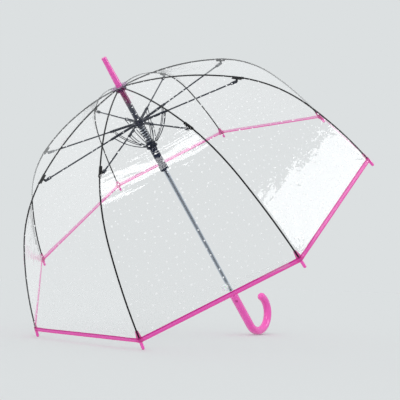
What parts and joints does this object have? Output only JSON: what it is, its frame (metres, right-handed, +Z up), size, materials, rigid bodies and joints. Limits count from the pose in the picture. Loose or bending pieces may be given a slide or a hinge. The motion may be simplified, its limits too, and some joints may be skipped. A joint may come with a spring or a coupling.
{
  "type": "dome stick umbrella",
  "caption": "Clear dome umbrella, open and lying on its rim and hooked handle, with folding ribs, stretchers, sliding hub and runner.",
  "frame": {"origin": "bottom centre of the object's box, on the surface that the umbrella lies on", "axes": "+Z up; the shaft lies in the XZ plane with the ferrule up towards -X and the handle down towards +X; +Y across the canopy"},
  "size_m": [0.6728, 0.7886, 0.6292],
  "materials": {
    "shaft_metal": "satin blue-grey lacquered steel tube",
    "pink_plastic": "glossy moulded pink",
    "navy_plastic": "moulded dark navy",
    "lilac_film": "translucent lilac film",
    "clear_film": "clear film with small white dots",
    "pink_tape": "woven pink binding tape",
    "plum_sleeve": "glossy plum sleeve",
    "plum_plastic": "dark plum button",
    "spring_steel": "dark spring wire",
    "dark_steel": "dark coated steel",
    "white_rubber": "pale translucent stop ring",
    "rib_rod": "black glass-fibre rod"
  },
  "bodies": {
    "shaft": {"shaft_tube": "shaft_metal", "ferrule": "pink_plastic", "top_notch": "navy_plastic", "canopy_cap": "lilac_film", "canopy_film": "clear_film", "hem_binding": "pink_tape", "upper_sleeve": "plum_sleeve", "hub_spring": "spring_steel", "stop_ring": "white_rubber", "handle": "pink_plastic", "button_spring": "spring_steel"},
    "hub": {"upper_hub": "navy_plastic"},
    "runner": {"runner": "navy_plastic"},
    "upper_catch": {"upper_catch": "dark_steel"},
    "lower_catch": {"lower_catch": "dark_steel"},
    "button": {"release_button": "plum_plastic"},
    "stretcher_1": {"stretcher_1": "dark_steel"},
    "link_1": {"link_1": "dark_steel"},
    "upper_rib_1": {"upper_rib_1": "rib_rod"},
    "lower_rib_1": {"lower_rib_1": "rib_rod", "rib_tip_1": "pink_plastic"},
    "stretcher_2": {"stretcher_2": "dark_steel"},
    "link_2": {"link_2": "dark_steel"},
    "upper_rib_2": {"upper_rib_2": "rib_rod"},
    "lower_rib_2": {"lower_rib_2": "rib_rod", "rib_tip_2": "pink_plastic"},
    "stretcher_3": {"stretcher_3": "dark_steel"},
    "link_3": {"link_3": "dark_steel"},
    "upper_rib_3": {"upper_rib_3": "rib_rod"},
    "lower_rib_3": {"lower_rib_3": "rib_rod", "rib_tip_3": "pink_plastic"},
    "stretcher_4": {"stretcher_4": "dark_steel"},
    "link_4": {"link_4": "dark_steel"},
    "upper_rib_4": {"upper_rib_4": "rib_rod"},
    "lower_rib_4": {"lower_rib_4": "rib_rod", "rib_tip_4": "pink_plastic"},
    "stretcher_5": {"stretcher_5": "dark_steel"},
    "link_5": {"link_5": "dark_steel"},
    "upper_rib_5": {"upper_rib_5": "rib_rod"},
    "lower_rib_5": {"lower_rib_5": "rib_rod", "rib_tip_5": "pink_plastic"},
    "stretcher_6": {"stretcher_6": "dark_steel"},
    "link_6": {"link_6": "dark_steel"},
    "upper_rib_6": {"upper_rib_6": "rib_rod"},
    "lower_rib_6": {"lower_rib_6": "rib_rod", "rib_tip_6": "pink_plastic"},
    "stretcher_7": {"stretcher_7": "dark_steel"},
    "link_7": {"link_7": "dark_steel"},
    "upper_rib_7": {"upper_rib_7": "rib_rod"},
    "lower_rib_7": {"lower_rib_7": "rib_rod", "rib_tip_7": "pink_plastic"},
    "stretcher_8": {"stretcher_8": "dark_steel"},
    "link_8": {"link_8": "dark_steel"},
    "upper_rib_8": {"upper_rib_8": "rib_rod"},
    "lower_rib_8": {"lower_rib_8": "rib_rod", "rib_tip_8": "pink_plastic"}
  },
  "joints": [
    {"name": "hub_slide", "type": "slide", "parent": "shaft", "child": "hub", "axis": [0.6737, 0, -0.739], "range_m": [0, 0.37865], "deforming": ["canopy_film", "hem_binding", "canopy_cap", "hub_spring"]},
    {"name": "runner_slide", "type": "slide", "parent": "shaft", "child": "runner", "axis": [0.6737, 0, -0.739], "range_m": [0, 0.34785]},
    {"name": "stretcher_1_hinge", "type": "hinge", "parent": "hub", "child": "stretcher_1", "pos_m": [-0.15544, 0.0044, 0.45269], "axis": [-0.2828, -0.9239, -0.2578], "range_deg": [-87.05, 0]},
    {"name": "link_1_hinge", "type": "hinge", "parent": "stretcher_1", "child": "link_1", "pos_m": [-0.1936, 0.02505, 0.42054], "axis": [-0.2828, -0.9239, -0.2578], "range_deg": [0, 44.7]},
    {"name": "upper_rib_1_hinge", "type": "hinge", "parent": "stretcher_1", "child": "upper_rib_1", "pos_m": [-0.31398, 0.0902, 0.31912], "axis": [-0.2828, -0.9239, -0.2578], "range_deg": [0, 156.87]},
    {"name": "lower_rib_1_flex", "type": "hinge", "parent": "upper_rib_1", "child": "lower_rib_1", "pos_m": [-0.32547, 0.096, 0.31096], "axis": [-0.2828, -0.9239, -0.2578], "range_deg": [-43.45, 0]},
    {"name": "stretcher_2_hinge", "type": "hinge", "parent": "hub", "child": "stretcher_2", "pos_m": [-0.15544, -0.0044, 0.45269], "axis": [0.2828, -0.9239, 0.2578], "range_deg": [-87.05, 0]},
    {"name": "link_2_hinge", "type": "hinge", "parent": "stretcher_2", "child": "link_2", "pos_m": [-0.1936, -0.02505, 0.42054], "axis": [0.2828, -0.9239, 0.2578], "range_deg": [0, 44.7]},
    {"name": "upper_rib_2_hinge", "type": "hinge", "parent": "stretcher_2", "child": "upper_rib_2", "pos_m": [-0.31398, -0.0902, 0.31912], "axis": [0.2828, -0.9239, 0.2578], "range_deg": [0, 156.87]},
    {"name": "lower_rib_2_flex", "type": "hinge", "parent": "upper_rib_2", "child": "lower_rib_2", "pos_m": [-0.32547, -0.096, 0.31096], "axis": [0.2828, -0.9239, 0.2578], "range_deg": [-43.45, 0]},
    {"name": "stretcher_3_hinge", "type": "hinge", "parent": "hub", "child": "stretcher_3", "pos_m": [-0.15084, -0.01063, 0.45688], "axis": [0.6828, -0.3827, 0.6224], "range_deg": [-87.05, 0]},
    {"name": "link_3_hinge", "type": "hinge", "parent": "stretcher_3", "child": "link_3", "pos_m": [-0.16742, -0.06048, 0.4444], "axis": [0.6828, -0.3827, 0.6224], "range_deg": [0, 44.7]},
    {"name": "upper_rib_3_hinge", "type": "hinge", "parent": "stretcher_3", "child": "upper_rib_3", "pos_m": [-0.2197, -0.21777, 0.40505], "axis": [0.6828, -0.3827, 0.6224], "range_deg": [0, 156.87]},
    {"name": "lower_rib_3_flex", "type": "hinge", "parent": "upper_rib_3", "child": "lower_rib_3", "pos_m": [-0.22514, -0.23176, 0.40242], "axis": [0.6828, -0.3827, 0.6224], "range_deg": [-43.45, 0]},
    {"name": "stretcher_4_hinge", "type": "hinge", "parent": "hub", "child": "stretcher_4", "pos_m": [-0.14434, -0.01063, 0.46281], "axis": [0.6828, 0.3827, 0.6224], "range_deg": [-87.05, 0]},
    {"name": "link_4_hinge", "type": "hinge", "parent": "stretcher_4", "child": "link_4", "pos_m": [-0.13039, -0.06048, 0.47816], "axis": [0.6828, 0.3827, 0.6224], "range_deg": [0, 44.7]},
    {"name": "upper_rib_4_hinge", "type": "hinge", "parent": "stretcher_4", "child": "upper_rib_4", "pos_m": [-0.08637, -0.21777, 0.52659], "axis": [0.6828, 0.3827, 0.6224], "range_deg": [0, 156.87]},
    {"name": "lower_rib_4_flex", "type": "hinge", "parent": "upper_rib_4", "child": "lower_rib_4", "pos_m": [-0.08324, -0.23176, 0.53175], "axis": [0.6828, 0.3827, 0.6224], "range_deg": [-43.45, 0]},
    {"name": "stretcher_5_hinge", "type": "hinge", "parent": "hub", "child": "stretcher_5", "pos_m": [-0.13974, -0.0044, 0.467], "axis": [0.2828, 0.9239, 0.2578], "range_deg": [-87.05, 0]},
    {"name": "link_5_hinge", "type": "hinge", "parent": "stretcher_5", "child": "link_5", "pos_m": [-0.1042, -0.02505, 0.50203], "axis": [0.2828, 0.9239, 0.2578], "range_deg": [0, 44.7]},
    {"name": "upper_rib_5_hinge", "type": "hinge", "parent": "stretcher_5", "child": "upper_rib_5", "pos_m": [0.0079, -0.0902, 0.61252], "axis": [0.2828, 0.9239, 0.2578], "range_deg": [0, 156.87]},
    {"name": "lower_rib_5_flex", "type": "hinge", "parent": "upper_rib_5", "child": "lower_rib_5", "pos_m": [0.01709, -0.096, 0.62321], "axis": [0.2828, 0.9239, 0.2578], "range_deg": [-43.45, 0]},
    {"name": "stretcher_6_hinge", "type": "hinge", "parent": "hub", "child": "stretcher_6", "pos_m": [-0.13974, 0.0044, 0.467], "axis": [-0.2828, 0.9239, -0.2578], "range_deg": [-87.05, 0]},
    {"name": "link_6_hinge", "type": "hinge", "parent": "stretcher_6", "child": "link_6", "pos_m": [-0.1042, 0.02505, 0.50203], "axis": [-0.2828, 0.9239, -0.2578], "range_deg": [0, 44.7]},
    {"name": "upper_rib_6_hinge", "type": "hinge", "parent": "stretcher_6", "child": "upper_rib_6", "pos_m": [0.0079, 0.0902, 0.61252], "axis": [-0.2828, 0.9239, -0.2578], "range_deg": [0, 156.87]},
    {"name": "lower_rib_6_flex", "type": "hinge", "parent": "upper_rib_6", "child": "lower_rib_6", "pos_m": [0.01709, 0.096, 0.62321], "axis": [-0.2828, 0.9239, -0.2578], "range_deg": [-43.45, 0]},
    {"name": "stretcher_7_hinge", "type": "hinge", "parent": "hub", "child": "stretcher_7", "pos_m": [-0.14434, 0.01063, 0.46281], "axis": [-0.6828, 0.3827, -0.6224], "range_deg": [-87.05, 0]},
    {"name": "link_7_hinge", "type": "hinge", "parent": "stretcher_7", "child": "link_7", "pos_m": [-0.13039, 0.06048, 0.47816], "axis": [-0.6828, 0.3827, -0.6224], "range_deg": [0, 44.7]},
    {"name": "upper_rib_7_hinge", "type": "hinge", "parent": "stretcher_7", "child": "upper_rib_7", "pos_m": [-0.08637, 0.21777, 0.52659], "axis": [-0.6828, 0.3827, -0.6224], "range_deg": [0, 156.87]},
    {"name": "lower_rib_7_flex", "type": "hinge", "parent": "upper_rib_7", "child": "lower_rib_7", "pos_m": [-0.08324, 0.23176, 0.53175], "axis": [-0.6828, 0.3827, -0.6224], "range_deg": [-43.45, 0]},
    {"name": "stretcher_8_hinge", "type": "hinge", "parent": "hub", "child": "stretcher_8", "pos_m": [-0.15084, 0.01063, 0.45688], "axis": [-0.6828, -0.3827, -0.6224], "range_deg": [-87.05, 0]},
    {"name": "link_8_hinge", "type": "hinge", "parent": "stretcher_8", "child": "link_8", "pos_m": [-0.16742, 0.06048, 0.4444], "axis": [-0.6828, -0.3827, -0.6224], "range_deg": [0, 44.7]},
    {"name": "upper_rib_8_hinge", "type": "hinge", "parent": "stretcher_8", "child": "upper_rib_8", "pos_m": [-0.2197, 0.21777, 0.40505], "axis": [-0.6828, -0.3827, -0.6224], "range_deg": [0, 156.87]},
    {"name": "lower_rib_8_flex", "type": "hinge", "parent": "upper_rib_8", "child": "lower_rib_8", "pos_m": [-0.22514, 0.23176, 0.40242], "axis": [-0.6828, -0.3827, -0.6224], "range_deg": [-43.45, 0]},
    {"name": "upper_catch_swing", "type": "hinge", "parent": "shaft", "child": "upper_catch", "pos_m": [-0.04953, -0.00113, 0.35059], "axis": [-0.5226, 0.7071, -0.4763], "range_deg": [0, 7.5], "stiffness_Nm_per_rad": 0.02, "springref_deg": -11.46},
    {"name": "lower_catch_swing", "type": "hinge", "parent": "shaft", "child": "lower_catch", "pos_m": [0.17729, -0.00113, 0.10175], "axis": [-0.5226, 0.7071, -0.4763], "range_deg": [0, 7.5], "stiffness_Nm_per_rad": 0.02, "springref_deg": -11.46},
    {"name": "button_press", "type": "slide", "parent": "shaft", "child": "button", "axis": [0.5226, 0.7071, 0.4763], "range_m": [0, 0.0016], "stiffness_N_per_m": 400, "springref_m": -0.001, "deforming": ["button_spring"]}
  ],
  "couplings": [
    {"joint": "runner_slide", "follows": "hub_slide", "ratio": 0.91862},
    {"joint": "stretcher_1_hinge", "follows": "hub_slide", "rad_per_m": -4.0119},
    {"joint": "link_1_hinge", "follows": "hub_slide", "rad_per_m": 2.0598},
    {"joint": "upper_rib_1_hinge", "follows": "hub_slide", "rad_per_m": 7.2304},
    {"joint": "lower_rib_1_flex", "follows": "hub_slide", "rad_per_m": -2.0023},
    {"joint": "stretcher_2_hinge", "follows": "hub_slide", "rad_per_m": -4.0119},
    {"joint": "link_2_hinge", "follows": "hub_slide", "rad_per_m": 2.0598},
    {"joint": "upper_rib_2_hinge", "follows": "hub_slide", "rad_per_m": 7.2304},
    {"joint": "lower_rib_2_flex", "follows": "hub_slide", "rad_per_m": -2.0023},
    {"joint": "stretcher_3_hinge", "follows": "hub_slide", "rad_per_m": -4.0119},
    {"joint": "link_3_hinge", "follows": "hub_slide", "rad_per_m": 2.0598},
    {"joint": "upper_rib_3_hinge", "follows": "hub_slide", "rad_per_m": 7.2304},
    {"joint": "lower_rib_3_flex", "follows": "hub_slide", "rad_per_m": -2.0023},
    {"joint": "stretcher_4_hinge", "follows": "hub_slide", "rad_per_m": -4.0119},
    {"joint": "link_4_hinge", "follows": "hub_slide", "rad_per_m": 2.0598},
    {"joint": "upper_rib_4_hinge", "follows": "hub_slide", "rad_per_m": 7.2304},
    {"joint": "lower_rib_4_flex", "follows": "hub_slide", "rad_per_m": -2.0023},
    {"joint": "stretcher_5_hinge", "follows": "hub_slide", "rad_per_m": -4.0119},
    {"joint": "link_5_hinge", "follows": "hub_slide", "rad_per_m": 2.0598},
    {"joint": "upper_rib_5_hinge", "follows": "hub_slide", "rad_per_m": 7.2304},
    {"joint": "lower_rib_5_flex", "follows": "hub_slide", "rad_per_m": -2.0023},
    {"joint": "stretcher_6_hinge", "follows": "hub_slide", "rad_per_m": -4.0119},
    {"joint": "link_6_hinge", "follows": "hub_slide", "rad_per_m": 2.0598},
    {"joint": "upper_rib_6_hinge", "follows": "hub_slide", "rad_per_m": 7.2304},
    {"joint": "lower_rib_6_flex", "follows": "hub_slide", "rad_per_m": -2.0023},
    {"joint": "stretcher_7_hinge", "follows": "hub_slide", "rad_per_m": -4.0119},
    {"joint": "link_7_hinge", "follows": "hub_slide", "rad_per_m": 2.0598},
    {"joint": "upper_rib_7_hinge", "follows": "hub_slide", "rad_per_m": 7.2304},
    {"joint": "lower_rib_7_flex", "follows": "hub_slide", "rad_per_m": -2.0023},
    {"joint": "stretcher_8_hinge", "follows": "hub_slide", "rad_per_m": -4.0119},
    {"joint": "link_8_hinge", "follows": "hub_slide", "rad_per_m": 2.0598},
    {"joint": "upper_rib_8_hinge", "follows": "hub_slide", "rad_per_m": 7.2304},
    {"joint": "lower_rib_8_flex", "follows": "hub_slide", "rad_per_m": -2.0023}
  ]
}
